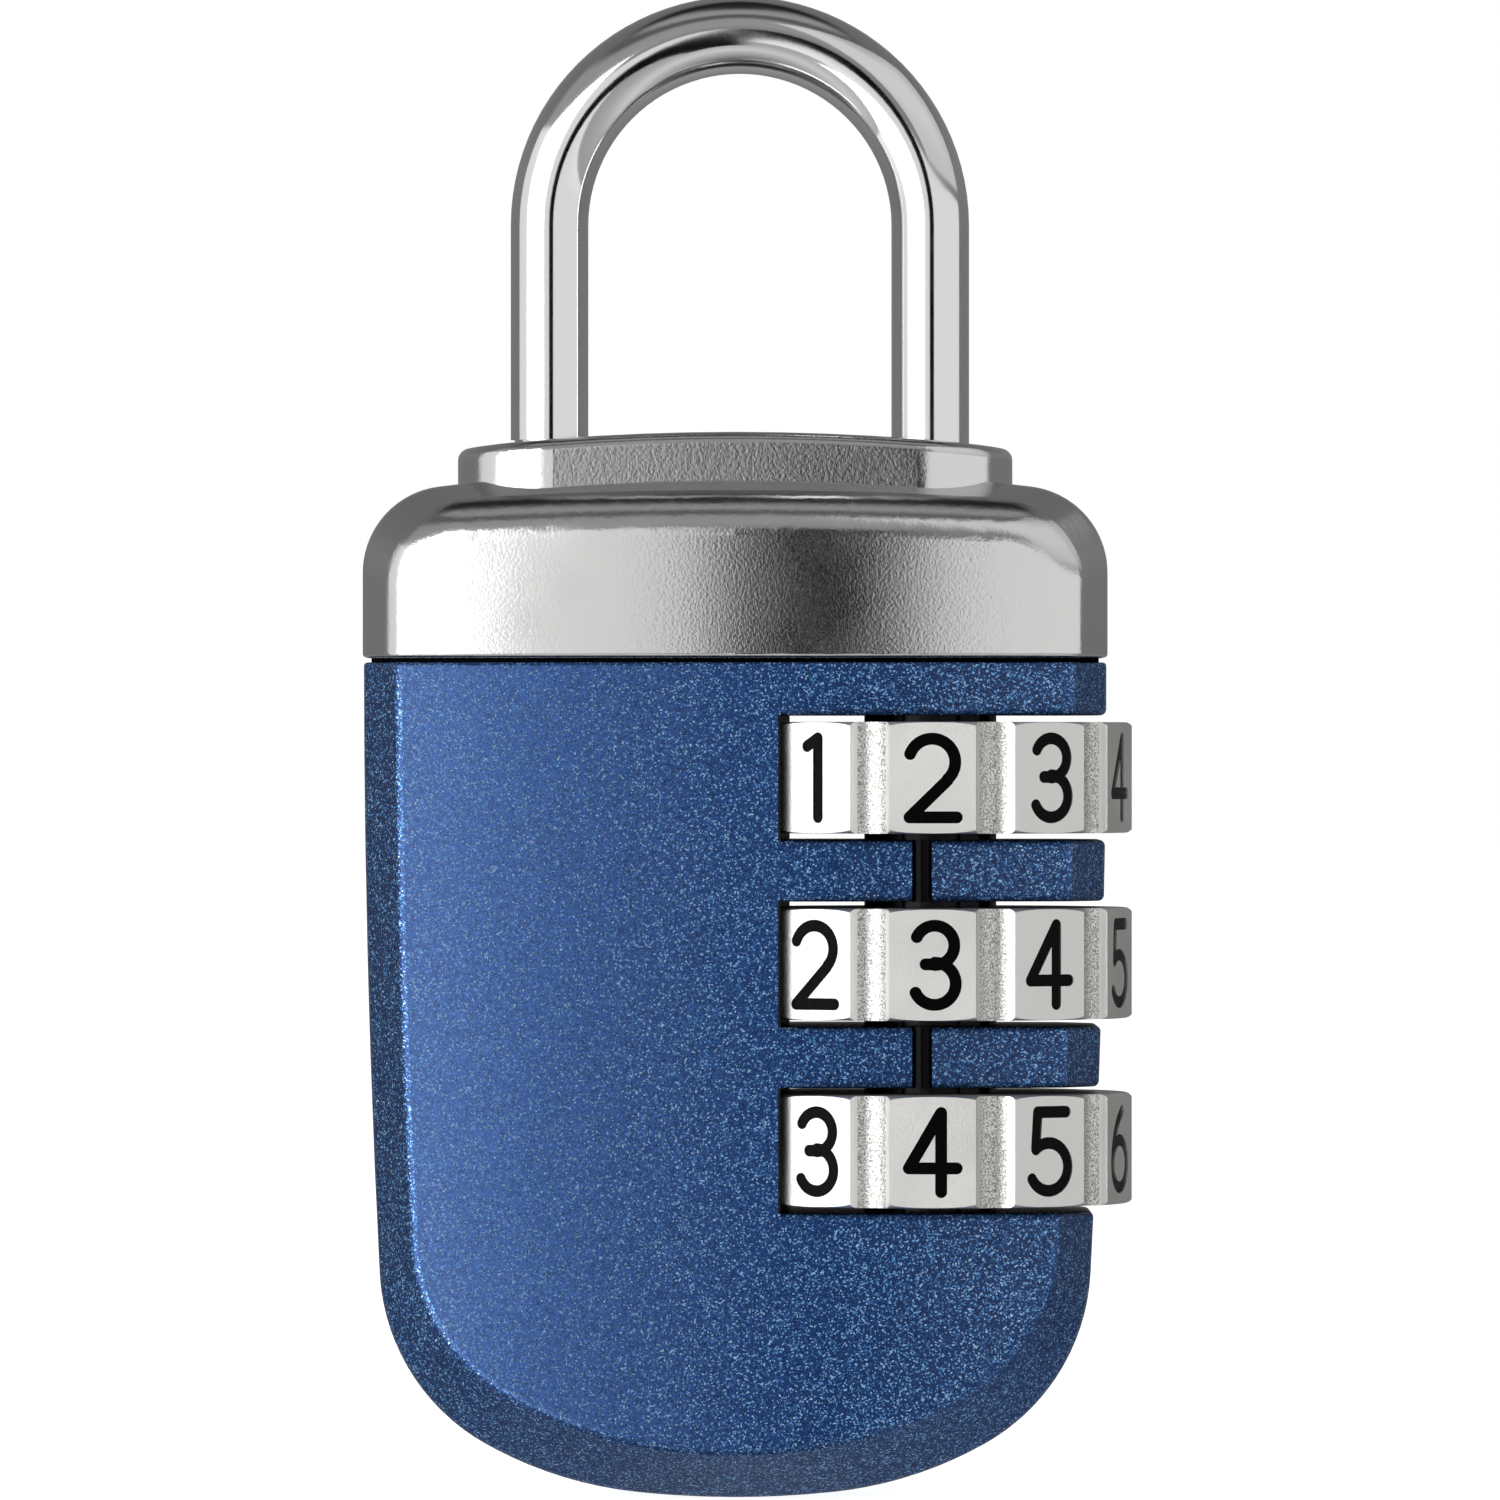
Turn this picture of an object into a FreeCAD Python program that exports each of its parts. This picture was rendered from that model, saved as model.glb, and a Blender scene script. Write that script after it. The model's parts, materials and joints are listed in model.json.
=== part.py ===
"""Three-dial combination padlock for luggage, in millimetres.

+Z runs up the shackle and -Y is the face with the digits. The origin is the inside crown of the
shackle bow, the point that the lock hangs from. The short toe leg is on the -X side, and the long
heel leg runs down through the dials on the +X side.
"""
import FreeCAD, Part
import math
import os

Vec = FreeCAD.Vector
UP = Vec(0, 0, 1)
RIGHT = Vec(1, 0, 0)
BACK = Vec(0, 1, 0)

# ---- shackle ----
wire_r = 1.575              # 3.15 mm wire
leg_spacing = 15.45         # between the two leg axes
bow_reach = 14.6            # from the inside crown down to the collar
lift = 7.5                  # travel of the opened shackle
toe_r = 1.41                # turned-down end of the toe leg
toe_length = 4.1
toe_sunk = 0.08             # the leg keeps its full thickness this far into the collar
toe_chamfer = 0.47
toe_end_gap = 0.84          # below the toe in its hole
neck_r = 1.1                # turned-down lower part of the heel leg
lug_width = 1.2
lug_height = 1.6
lug_play = 1.0              # between a lug and the web above it when locked
tip_length = 0.5            # of the heel below its last lug

# ---- case and cap ----
case_width = 30.0
case_height = 33.725
case_front = 6.0            # from the dials' axis to the front face
case_back = 6.4             # from the dials' axis to the back face
case_shift = -0.19          # the case's middle, from the bow's
side_radius = 480.0         # the sides are very slightly curved
halvings = 60               # of the search for the turn at which the sides end
corner_arcs = ((8.4, 57.7), (15.8, 23.2))   # radius and turn in degrees of each lower corner's arcs
face_radius = 85.0          # the front and back faces are gently curved from side to side
bevel_side = 2.1            # how far in the side bevel would reach on a flat face
bevel_bottom = 1.95
bevel_depth = 3.3
cap_height = 7.65
cap_overhang = 0.05         # the cap stands this much proud of the case
cap_bevel_top = 1.45
cap_dome_radius = 97.0
shoulder_radius = 3.5
collar_width = 22.5
collar_depth = 7.8
collar_height = 1.45
seam_height = 0.2           # shadow gap between cap and case
seam_depth = 0.35
case_rounds = (0.45, 0.6)   # rounding where a bevel meets the face, and where it meets the side
cap_rounds = (2.0, 0.8)     # the cap is rolled over more softly
rim_round = 0.5             # rounding of the collar's top
web_round = 0.25            # rounding round each dial slot's mouth
seam_round = 0.15           # rounding of both lips of the seam

# ---- dials ----
dial_count = 3
digit_count = 10
dial_pitch = 7.5
first_dial_drop = 4.65      # from the case's top to the first dial's middle
dial_r = 8.2                # to a facet's corner
dial_height = 4.48
facet_angle = 24.4          # the rest of each 36 degrees is a flute
flute_depth = 0.45
dial_rim_round = 0.35
dial_side_gap = 0.34        # between a dial and its slot, all round
dial_end_gap = 0.275        # above and below a dial
first_digits = (2, 3, 4)    # the digit that each dial shows in front

# ---- digits and index ----
digit_height = 3.65
digit_width = 2.4
stroke = 0.48
engraving_depth = 0.3
paint_drop = 0.08           # the paint lies this much below the facet
index_offset = -0.4         # from the dials' axis
index_r = 0.4
index_depth = 0.75
index_sunk = 0.3            # the black enamel fills the groove up to here

# ---- lock core ----
sleeve_r = 2.7
sleeve_gap = 0.1            # between stacked sleeves
web_height = 1.0
running_clearance = 0.06
reset_travel = 0.9          # how far the sleeves go down when the code is changed
spline_depth = 0.3
spline_width = 0.75
tooth_height = 0.6
tooth_side_gap = 0.07
lug_side_gap = 0.1
washer_r = 3.6
clip_r = 2.25
clip_height = 0.4
clip_groove = 0.35          # depth of the clip's groove in the neck
end_gap = 0.05
seat_height = 0.5
seat_hole_r = 1.3
spring_length = 5.1
spring_wire = 0.5
spring_turns = 4
wire_flats = 16             # the spring wire is round, and its section is drawn with this many flats

# ---- detent spring and cap fixings ----
leaf_thickness = 0.25
leaf_gap = 0.3              # height between one dial's leaf and the next
nose_standoff = 0.125       # from a leaf's face to the middle of its nose
leaf_back_y = 4.0           # the leaf's edge that stays clamped
leaf_root_y = 2.2           # where its finger starts
leaf_front_y = -1.6         # the free end of the finger
nose_clearance = 0.11
finger_height = 3.2
clamp_gap = 0.06
flex_room = 0.8
plug_length = 8.5
plug_depth = 7.0
plug_height = 4.6
plug_right = -3.4
plug_gap = 0.1
pin_r = 0.75
pin_tip_y = 0.0             # how deep the pins reach
pin_drop = 2.4              # from the case's top
pin_gap = 0.01
overshoot = 1.0             # how far a cutting or trimmed block runs past the surface

# ---- places worked out from the sizes above ----
bow_r = leg_spacing / 2
axis_x = leg_spacing / 2
arch_z = wire_r - bow_r
collar_top = -bow_reach
cap_top = collar_top - collar_height
cap_bottom = cap_top - cap_height
case_top = cap_bottom - seam_height
case_half = case_width / 2
dial_z = [case_top - first_dial_drop - i * dial_pitch for i in range(dial_count)]
slot_r = dial_r + dial_side_gap
slot_height = dial_height + 2 * dial_end_gap
sleeve_height = dial_pitch - sleeve_gap
bore_r = sleeve_r + running_clearance
recess_r = wire_r + lug_side_gap
spline_root_r = sleeve_r - spline_depth
core_top = dial_z[0] + sleeve_height / 2 + end_gap
chamber_top = core_top + clip_height + lift + end_gap
seat_z = dial_z[-1] - sleeve_height / 2 - end_gap - seat_height
bore_bottom = seat_z - spring_length
facet_pitch = 360 / digit_count
corner_chord = dial_r * math.cos(math.radians((facet_pitch - facet_angle) / 2))
facet_r = dial_r * math.cos(math.radians(facet_angle / 2))
flute_half = dial_r * math.sin(math.radians((facet_pitch - facet_angle) / 2))
flute_r = (flute_half ** 2 + flute_depth ** 2) / (2 * flute_depth)
flute_centre = corner_chord - flute_depth + flute_r
nose_r = flute_r - nose_clearance
leaf_x = axis_x - flute_centre - nose_standoff - leaf_thickness
leaf_height = dial_pitch - leaf_gap
leaf_low = dial_z[-1] - leaf_height / 2


def dome_drop(x):
    """How far the cap's domed top has dropped at x from its middle."""
    return cap_dome_radius - math.sqrt(cap_dome_radius ** 2 - (x - case_shift) ** 2)


def box(x, y, z):
    """A block between two limits on each axis."""
    return Part.makeBox(x[1] - x[0], y[1] - y[0], z[1] - z[0], Vec(x[0], y[0], z[0]))


def rod(radius, low, high, x=0.0, y=0.0):
    """An upright cylinder."""
    return Part.makeCylinder(radius, high - low, Vec(x, y, low), UP)


def on_dial_axis(shape):
    """The shape, moved from the Z axis to the dials' axis."""
    moved = shape.copy()
    moved.translate(Vec(axis_x, 0, 0))
    return moved


def arc_through(start, centre, radius, angle_from, angle_to):
    """An arc in the XZ plane of start's depth, as (edge, its end point)."""
    def at(angle):
        return centre + Vec(math.cos(angle), 0, math.sin(angle)) * radius
    end = at(angle_to)
    return Part.Arc(start, at((angle_from + angle_to) / 2), end).toShape(), end


def mirrored_outline(half_edges, middle_x):
    """A closed wire from its right-hand edges and their mirror image."""
    left = [e.mirror(Vec(middle_x, 0, 0), RIGHT) for e in half_edges]
    return Part.Wire(Part.__sortEdges__(half_edges + left))


def case_outline(depth_y, inset, raised):
    """The case's U shape at one depth: a straight top, nearly straight sides and a round bottom."""
    half = case_half - inset
    turns = [math.radians(turn) for _, turn in corner_arcs]
    radii = [radius for radius, _ in corner_arcs]

    def lower(side_turn):
        """The corner's and bottom's arcs, from where the side ends, as (radius, start, turn)."""
        x = half - side_radius * (1 - math.cos(side_turn))
        heading, arcs = side_turn, []
        for radius, turn in zip(radii, turns):
            arcs.append((radius, heading, turn))
            x -= radius * (math.cos(heading) - math.cos(heading + turn))
            heading += turn
        rest = math.pi / 2 - heading
        arcs.append((x / math.sin(rest), heading, rest))
        return arcs

    def fall(side_turn):
        """The outline's full height for this turn of the side."""
        return side_radius * math.sin(side_turn) + sum(
            r * (math.sin(a + t) - math.sin(a)) for r, a, t in lower(side_turn))

    low, high = 0.0, math.asin(case_height / side_radius)
    for _ in range(halvings):
        middle = (low + high) / 2
        low, high = (middle, high) if fall(middle) < case_height - raised else (low, middle)
    point = Vec(case_shift + half, depth_y, case_top)
    edges = [Part.LineSegment(Vec(case_shift, depth_y, case_top), point).toShape()]
    for radius, heading, turn in [(side_radius, 0.0, low)] + lower(low):
        centre = point - Vec(math.cos(heading), 0, -math.sin(heading)) * radius
        edge, point = arc_through(point, centre, radius, -heading, -heading - turn)
        edges.append(edge)
    return mirrored_outline(edges, case_shift)


def cap_outline(depth_y, inset, lowered):
    """The cap's front shape at one depth: straight sides, round shoulders and a domed top."""
    half = case_half + cap_overhang - inset
    top = cap_top - lowered
    dome = cap_dome_radius
    inner = dome - shoulder_radius
    shoulder_x = half - shoulder_radius
    slope = math.asin(shoulder_x / inner)
    shoulder_z = top - dome + inner * math.cos(slope)
    start = Vec(case_shift, depth_y, cap_bottom)
    foot = Vec(case_shift + half, depth_y, cap_bottom)
    spring = Vec(case_shift + half, depth_y, shoulder_z)
    shoulder, point = arc_through(spring, Vec(case_shift + shoulder_x, depth_y, shoulder_z),
                                  shoulder_radius, 0, math.pi / 2 - slope)
    crown, _ = arc_through(point, Vec(case_shift, depth_y, top - dome), dome,
                           math.pi / 2 - slope, math.pi / 2)
    edges = [Part.LineSegment(start, foot).toShape(), Part.LineSegment(foot, spring).toShape()]
    return mirrored_outline(edges + [shoulder, crown], case_shift)


def bevelled_block(outline, *insets):
    """A block with this outline between the front and back faces, bevelled round both."""
    front, back = -case_front, case_back
    middle = Part.Face(outline(front + bevel_depth, 0, 0))
    middle = middle.extrude(BACK * (back - front - 2 * bevel_depth))
    ends = [Part.makeLoft([outline(wide, 0, 0), outline(face, *insets)], True, True)
            for wide, face in ((front + bevel_depth, front), (back - bevel_depth, back))]
    return middle.multiFuse(ends).removeSplitter()


def crowned(block):
    """The block with its front and back faces curved from side to side."""
    foot, height = case_top - case_height, case_height + seam_height + cap_height
    centres = (face_radius - case_front, case_back - face_radius)
    drums = [Part.makeCylinder(face_radius, height, Vec(case_shift, y, foot), UP) for y in centres]
    return block.common(drums[0]).common(drums[1]).removeSplitter()


def is_level(edge):
    """Whether an edge keeps to one height."""
    return edge.BoundBox.ZLength < 1e-3


def face_edges(shape):
    """The edges round the curved front and back faces, apart from the level ones."""
    faces = [f for f in shape.Faces
             if isinstance(f.Surface, Part.Cylinder) and abs(f.Surface.Radius - face_radius) < 1e-6]
    return [e for f in faces for e in f.OuterWire.Edges if not is_level(e)]


def rising_edges_at(shape, depth_y):
    """The shape's edges that lie at one depth, apart from the level ones."""
    return [e for e in shape.Edges
            if abs(e.BoundBox.YMin - depth_y) < 1e-4 and abs(e.BoundBox.YMax - depth_y) < 1e-4
            and not is_level(e)]


def level_edges_at(shape, height, clear_of=0.0):
    """The shape's level edges at one height that don't follow a circle round the dials' axis."""
    edges = [e for e in shape.Edges
             if abs(e.BoundBox.ZMin - height) < 1e-4 and abs(e.BoundBox.ZMax - height) < 1e-4]
    axis = Vec(axis_x, 0, height)
    middles = [e.valueAt((e.FirstParameter + e.LastParameter) / 2) for e in edges]
    return [e for e, m in zip(edges, middles) if abs(m.distanceToPoint(axis) - clear_of) > 1e-3]


def soften(block, face_round, edge_round):
    """The block with its bevels' inner and outer edges rounded."""
    block = block.makeFillet(face_round, face_edges(block))
    for depth_y in (bevel_depth - case_front, case_back - bevel_depth):
        block = block.makeFillet(edge_round, rising_edges_at(block, depth_y))
    return block


def dial_slots():
    """The round cavity of each dial, which breaks out through the front, back and side."""
    return [rod(slot_r, z - slot_height / 2, z + slot_height / 2, axis_x) for z in dial_z]


def leaf_pocket():
    """The pocket that the detent springs drop into from above."""
    height = (leaf_low - end_gap, case_top)
    face_x = leaf_x + leaf_thickness + clamp_gap
    clamp = box((leaf_x - clamp_gap, face_x), (leaf_root_y, leaf_back_y + clamp_gap), height)
    room = box((leaf_x - flex_room, face_x), (leaf_front_y - dial_side_gap, leaf_root_y), height)
    nose_room = nose_r + dial_side_gap
    nose = box((leaf_x, axis_x - facet_r + dial_side_gap), (-nose_room, nose_room), height)
    return clamp.multiFuse([room, nose])


def face_fall(x):
    """How far the curved faces have fallen back at this x."""
    return face_radius - math.sqrt(face_radius ** 2 - (x - case_shift) ** 2)


def index_bars(sunk):
    """The upright index marks on the webs between the dials, round behind and sunk in front."""
    bars = []
    x = axis_x + index_offset
    face_y = face_fall(x) - case_front
    middle_y = face_y + index_depth - index_r
    for above, below in zip(dial_z, dial_z[1:]):
        height = (below + slot_height / 2, above - slot_height / 2)
        front_y = face_y + sunk if sunk else -case_front
        face = box((x - index_r, x + index_r), (front_y, middle_y), height)
        bars.append(rod(index_r, *height, x, middle_y).fuse(face))
    return bars


def plug_block(gap=0.0):
    """The cap's plug, or with a gap, its pocket in the case."""
    left = plug_right - plug_length
    return box((left - gap, plug_right + gap), (-plug_depth / 2 - gap, plug_depth / 2 + gap),
               (case_top - plug_height - gap, cap_bottom))


def cap_pins(radius, through=True):
    """The holes of the two level pins that hold the cap's plug, or else the pins, flush with the back."""
    centre = plug_right - plug_length / 2
    pins = []
    for x in (centre - plug_length / 4, centre + plug_length / 4):
        end_y = case_back if through else case_back - max(face_fall(x - radius), face_fall(x + radius))
        pins.append(Part.makeCylinder(radius, end_y - pin_tip_y, Vec(x, end_y, case_top - pin_drop), -BACK))
    return pins


def make_case():
    """One die casting: bevelled U-shaped block with dial slots, core bore and pockets."""
    block = soften(crowned(bevelled_block(case_outline, bevel_side, bevel_bottom)), *case_rounds)
    block = block.makeFillet(seam_round, level_edges_at(block, case_top)).cut(dial_slots())
    for z in dial_z:
        for lip in (z - slot_height / 2, z + slot_height / 2):
            block = block.makeFillet(web_round, level_edges_at(block, lip, slot_r))
    bore = rod(bore_r, bore_bottom, case_top, axis_x)
    washer_seat = rod(washer_r + pin_gap, core_top, case_top, axis_x)
    hollows = [bore, washer_seat, leaf_pocket(), plug_block(plug_gap)]
    return block.cut(hollows + index_bars(0) + cap_pins(pin_r + pin_gap))


def make_collar():
    """The raised collar round the shackle's legs: a long round-ended boss with a domed top."""
    half, end_r = collar_width / 2, collar_depth / 2
    straight = half - end_r
    top, bottom = collar_top, cap_top - collar_height
    height = (bottom, top + overshoot)
    boss = box((case_shift - straight, case_shift + straight), (-end_r, end_r), height)
    boss = boss.multiFuse([rod(end_r, *height, case_shift + x) for x in (-straight, straight)])
    dome = Part.makeCylinder(cap_dome_radius, 2 * case_back + case_width,
                             Vec(case_shift, -case_width, top - cap_dome_radius), BACK)
    boss = boss.common(dome).removeSplitter()
    rim = [e for e in boss.Edges if e.BoundBox.ZMin > top - dome_drop(half) - rim_round]
    return boss.makeFillet(rim_round, rim)


def make_cap():
    """One casting: domed cap with collar, plug and the chamber for the heel's clip."""
    block = soften(crowned(bevelled_block(cap_outline, bevel_side, cap_bevel_top)), *cap_rounds)
    foot = min(block.Faces, key=lambda face: face.CenterOfMass.z)
    ledge = foot.makeOffset2D(-seam_depth).extrude(-UP * seam_height)
    block = block.makeFillet(seam_round, level_edges_at(block, cap_bottom))
    cap = block.multiFuse([make_collar(), ledge, plug_block()]).removeSplitter()
    toe_bottom = toe_top() - toe_length - toe_end_gap
    toe_hole = rod(wire_r + lug_side_gap, toe_bottom, collar_top, -bow_r)
    heel_hole = rod(wire_r + lug_side_gap, chamber_top, collar_top, axis_x)
    chamber = rod(clip_r + lug_side_gap, case_top, chamber_top, axis_x)
    return cap.cut([toe_hole, heel_hole, chamber] + cap_pins(pin_r + pin_gap))


def toe_top():
    """Where the toe leg's full thickness ends, just below the collar's top at its inner side."""
    return collar_top - dome_drop(wire_r - bow_r) - toe_sunk


def lug_tops():
    """The top of each lug on the heel, one under each sleeve's web."""
    return [z + sleeve_height / 2 - web_height - lug_play for z in dial_z]


def make_shackle():
    """Bent wire: a half-ring, a short toe leg, and a heel leg with a thin neck and three lugs."""
    ring = Part.Face(Part.Wire(Part.makeCircle(wire_r, Vec(bow_r, 0, arch_z), UP)))
    bow = ring.revolve(Vec(0, 0, arch_z), -BACK, 180)
    toe_end = toe_top() - toe_length
    toe = rod(wire_r, toe_top(), arch_z, -bow_r)
    nose = rod(toe_r, toe_end + toe_chamfer, toe_top(), -bow_r)
    nose_tip = Part.makeCone(toe_r - toe_chamfer, toe_r, toe_chamfer, Vec(-bow_r, 0, toe_end), UP)
    neck_top = chamber_top - lift + clip_height
    heel = rod(wire_r, neck_top, arch_z, bow_r)
    tip = lug_tops()[-1] - lug_height - tip_length
    neck = rod(neck_r, tip, neck_top, bow_r)
    lugs = []
    for top in lug_tops():
        lug = box((bow_r - wire_r, bow_r), (-lug_width / 2, lug_width / 2), (top - lug_height, top))
        lugs.append(lug.common(rod(wire_r, top - lug_height, top, bow_r)))
    groove = rod(neck_r, core_top, core_top + clip_height + end_gap, bow_r)
    groove = groove.cut(rod(neck_r - clip_groove, core_top, neck_top, bow_r))
    return bow.multiFuse([toe, nose, nose_tip, heel, neck] + lugs).removeSplitter().cut(groove)


def make_shackle_clip():
    """A C-shaped retaining clip in the neck's groove, which stops the shackle under the cap."""
    height = (core_top, core_top + clip_height)
    inner_r = neck_r - clip_groove
    opening = box((0, clip_r), (-inner_r, inner_r), height)
    return on_dial_axis(rod(clip_r, *height).cut([rod(inner_r, *height), opening]))


def make_stop_washer():
    """The hardened washer above the sleeves, clamped between cap and case."""
    hole = rod(clip_r + lug_side_gap, core_top, case_top)
    return on_dial_axis(rod(washer_r, core_top, case_top - pin_gap).cut(hole))


def make_sleeve(z):
    """A clutch sleeve: splined outside, with a slotted web inside that a lug has to pass."""
    low, high = z - sleeve_height / 2, z + sleeve_height / 2
    body = rod(sleeve_r, low, high)
    recess = rod(recess_r, low, high - web_height)
    web_hole = rod(neck_r + running_clearance, low, high)
    slot = box((-recess_r, 0), (-lug_width / 2 - lug_side_gap, lug_width / 2 + lug_side_gap), (low, high))
    slot = slot.common(rod(recess_r, low, high))
    relief_low = z + tooth_height / 2 + lug_side_gap
    relief_high = relief_low + reset_travel
    relief = rod(sleeve_r, relief_low, relief_high).cut(rod(spline_root_r, relief_low, relief_high))
    splines = []
    for i in range(digit_count):
        spline = box((spline_root_r, sleeve_r + overshoot), (-spline_width / 2, spline_width / 2),
                     (low, high))
        splines.append(spline.rotate(Vec(), UP, i * facet_pitch))
    return on_dial_axis(body.cut([recess, web_hole, slot, relief] + splines))


def make_dial_blank():
    """A ring with ten flat facets, a flute between each pair, and ten teeth in its bore."""
    edges = []
    for i in range(digit_count):
        middle = math.radians(i * facet_pitch - 90)
        half = math.radians(facet_angle / 2)
        start, end = (Vec(math.cos(a), math.sin(a), 0) * dial_r for a in (middle - half, middle + half))
        flute = middle + math.radians(facet_pitch / 2)
        bottom = Vec(math.cos(flute), math.sin(flute), 0) * (corner_chord - flute_depth)
        onward = middle + math.radians(facet_pitch) - half
        following = Vec(math.cos(onward), math.sin(onward), 0) * dial_r
        edges += [Part.LineSegment(start, end).toShape(), Part.Arc(end, bottom, following).toShape()]
    ring = Part.Face(Part.Wire(edges)).extrude(UP * dial_height)
    ring.translate(Vec(0, 0, -dial_height / 2))
    blank = rod(dial_r + running_clearance, -dial_height / 2, dial_height / 2)
    rims = [e for e in blank.Edges if e.BoundBox.ZLength < 1e-6]
    ring = ring.common(blank.makeFillet(dial_rim_round, rims)).cut(rod(bore_r, -dial_height, dial_height))
    teeth = []
    tooth_half = spline_width / 2 - tooth_side_gap
    for i in range(digit_count):
        tooth = box((spline_root_r + running_clearance, bore_r + spline_depth), (-tooth_half, tooth_half),
                    (-tooth_height / 2, tooth_height / 2))
        teeth.append(tooth.rotate(Vec(), UP, i * facet_pitch))
    return ring.multiFuse(teeth)


# Each digit is a list of strokes on a grid that runs from -1 to 1 across and up the digit: a line
# is ("line", x1, z1, x2, z2), and an arc is ("arc", x, z, radius, from, to) with its radius in
# half widths and its angles in degrees.
GLYPHS = {
    0: [("arc", 0, 0.38, 1, 0, 180), ("arc", 0, -0.38, 1, 180, 360),
        ("line", -1, 0.38, -1, -0.38), ("line", 1, 0.38, 1, -0.38)],
    1: [("line", 0.15, 1, 0.15, -1), ("line", 0.15, 1, -0.4, 0.8)],
    2: [("arc", -0.03, 0.4, 0.97, -48, 160), ("line", 0.62, -0.06, -0.97, -1), ("line", -0.97, -1, 1, -1)],
    3: [("arc", 0.08, 0.5, 0.82, -90, 155), ("arc", 0.08, -0.47, 0.88, -155, 90),
        ("line", -0.3, 0.02, 0.08, 0.02)],
    4: [("line", 0.35, 1, -1, -0.4), ("line", -1, -0.4, 1, -0.4), ("line", 0.35, 1, 0.35, -1)],
    5: [("line", -0.62, 1, 0.85, 1), ("line", -0.62, 1, -0.72, 0.13), ("arc", -0.05, -0.39, 1, -150, 132)],
    6: [("arc", 0, -0.38, 1, 0, 360), ("arc", 1.5, -0.38, 2.5, 118, 180)],
    7: [("line", -1, 1, 1, 1), ("line", 1, 1, -0.35, -1)],
    8: [("arc", 0, 0.52, 0.8, 0, 360), ("arc", 0, -0.46, 0.9, 0, 360)],
    9: [("arc", 0, 0.38, 1, 0, 360), ("arc", -1.5, 0.38, 2.5, -62, 0)],
}


def stroke_solids(kind, *numbers, depth):
    """One stroke of a digit with round ends, standing from y=0 to y=depth."""
    half_w, half_h = (digit_width - stroke) / 2, (digit_height - stroke) / 2
    radius = stroke / 2

    def dot(x, z):
        return Part.makeCylinder(radius, depth, Vec(x, 0, z), BACK)
    if kind == "line":
        x1, z1, x2, z2 = (n * s for n, s in zip(numbers, (half_w, half_h, half_w, half_h)))
        length, angle = math.hypot(x2 - x1, z2 - z1), math.degrees(math.atan2(z2 - z1, x2 - x1))
        bar = Part.makeBox(length, depth, stroke, Vec(0, 0, -radius))
        bar.rotate(Vec(), BACK, -angle)
        bar.translate(Vec(x1, 0, z1))
        return [bar, dot(x1, z1), dot(x2, z2)]
    x, z, reach, start, end = numbers
    x, z, reach = x * half_w, z * half_h, reach * half_w
    sector = ring_sector(Vec(x, 0, z), reach - radius, reach + radius, start, end)
    ends = [math.radians(a) for a in (start, end)]
    dots = [dot(x + reach * math.cos(a), z + reach * math.sin(a)) for a in ends]
    return [sector.extrude(BACK * depth)] + dots


def ring_sector(centre, inner, outer, start, end):
    """A flat part of a ring in the XZ plane, between two angles in degrees from +X towards +Z."""
    def at(angle, radius):
        return centre + Vec(math.cos(math.radians(angle)), 0, math.sin(math.radians(angle))) * radius

    def arc(radius):
        return Part.Arc(at(start, radius), at((start + end) / 2, radius), at(end, radius)).toShape()
    if end - start >= 360:
        rings = [Part.Wire(Part.makeCircle(radius, centre, BACK)) for radius in (outer, inner)]
        return Part.Face(rings[0]).cut(Part.Face(rings[1]))
    sides = [Part.LineSegment(at(a, inner), at(a, outer)).toShape() for a in (start, end)]
    return Part.Face(Part.Wire(Part.__sortEdges__([arc(inner), arc(outer)] + sides)))


def make_digit(digit, depth):
    """A whole digit, standing from y=0 to y=depth."""
    solids = [s for numbers in GLYPHS[digit] for s in stroke_solids(*numbers, depth=depth)]
    return solids[0].multiFuse(solids[1:]).removeSplitter()


def on_facet(shape, sunk, index):
    """The shape moved into a facet, sunk below its surface, with the facets numbered from the front."""
    placed = shape.copy()
    placed.translate(Vec(0, sunk - facet_r, 0))
    return placed.rotate(Vec(), UP, index * facet_pitch)


def make_dial(number):
    """One dial: its blank, turned to show its first digit in front, with ten engraved digits."""
    blank = make_dial_blank()
    cuts = [on_facet(make_digit(shown_digit(number, i), engraving_depth), 0, i) for i in range(digit_count)]
    return at_dial(blank.cut(cuts), number)


def make_numerals(number):
    """The black paint in one dial's engraved digits, slightly below the facets."""
    depth = engraving_depth - paint_drop
    paint = [on_facet(make_digit(shown_digit(number, i), depth), paint_drop, i) for i in range(digit_count)]
    return at_dial(Part.makeCompound(paint), number)


def shown_digit(number, index):
    """The digit on a dial's facet, counted to the right from the front one."""
    return (first_digits[number] + index) % digit_count


def at_dial(shape, number):
    """The shape moved to one dial's place."""
    moved = on_dial_axis(shape)
    moved.translate(UP * dial_z[number])
    return moved


def make_spring_seat():
    """The washer between the lowest sleeve and the reset spring."""
    seat = rod(sleeve_r - running_clearance, seat_z, seat_z + seat_height)
    return on_dial_axis(seat.cut(rod(seat_hole_r, seat_z, seat_z + seat_height)))


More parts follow.
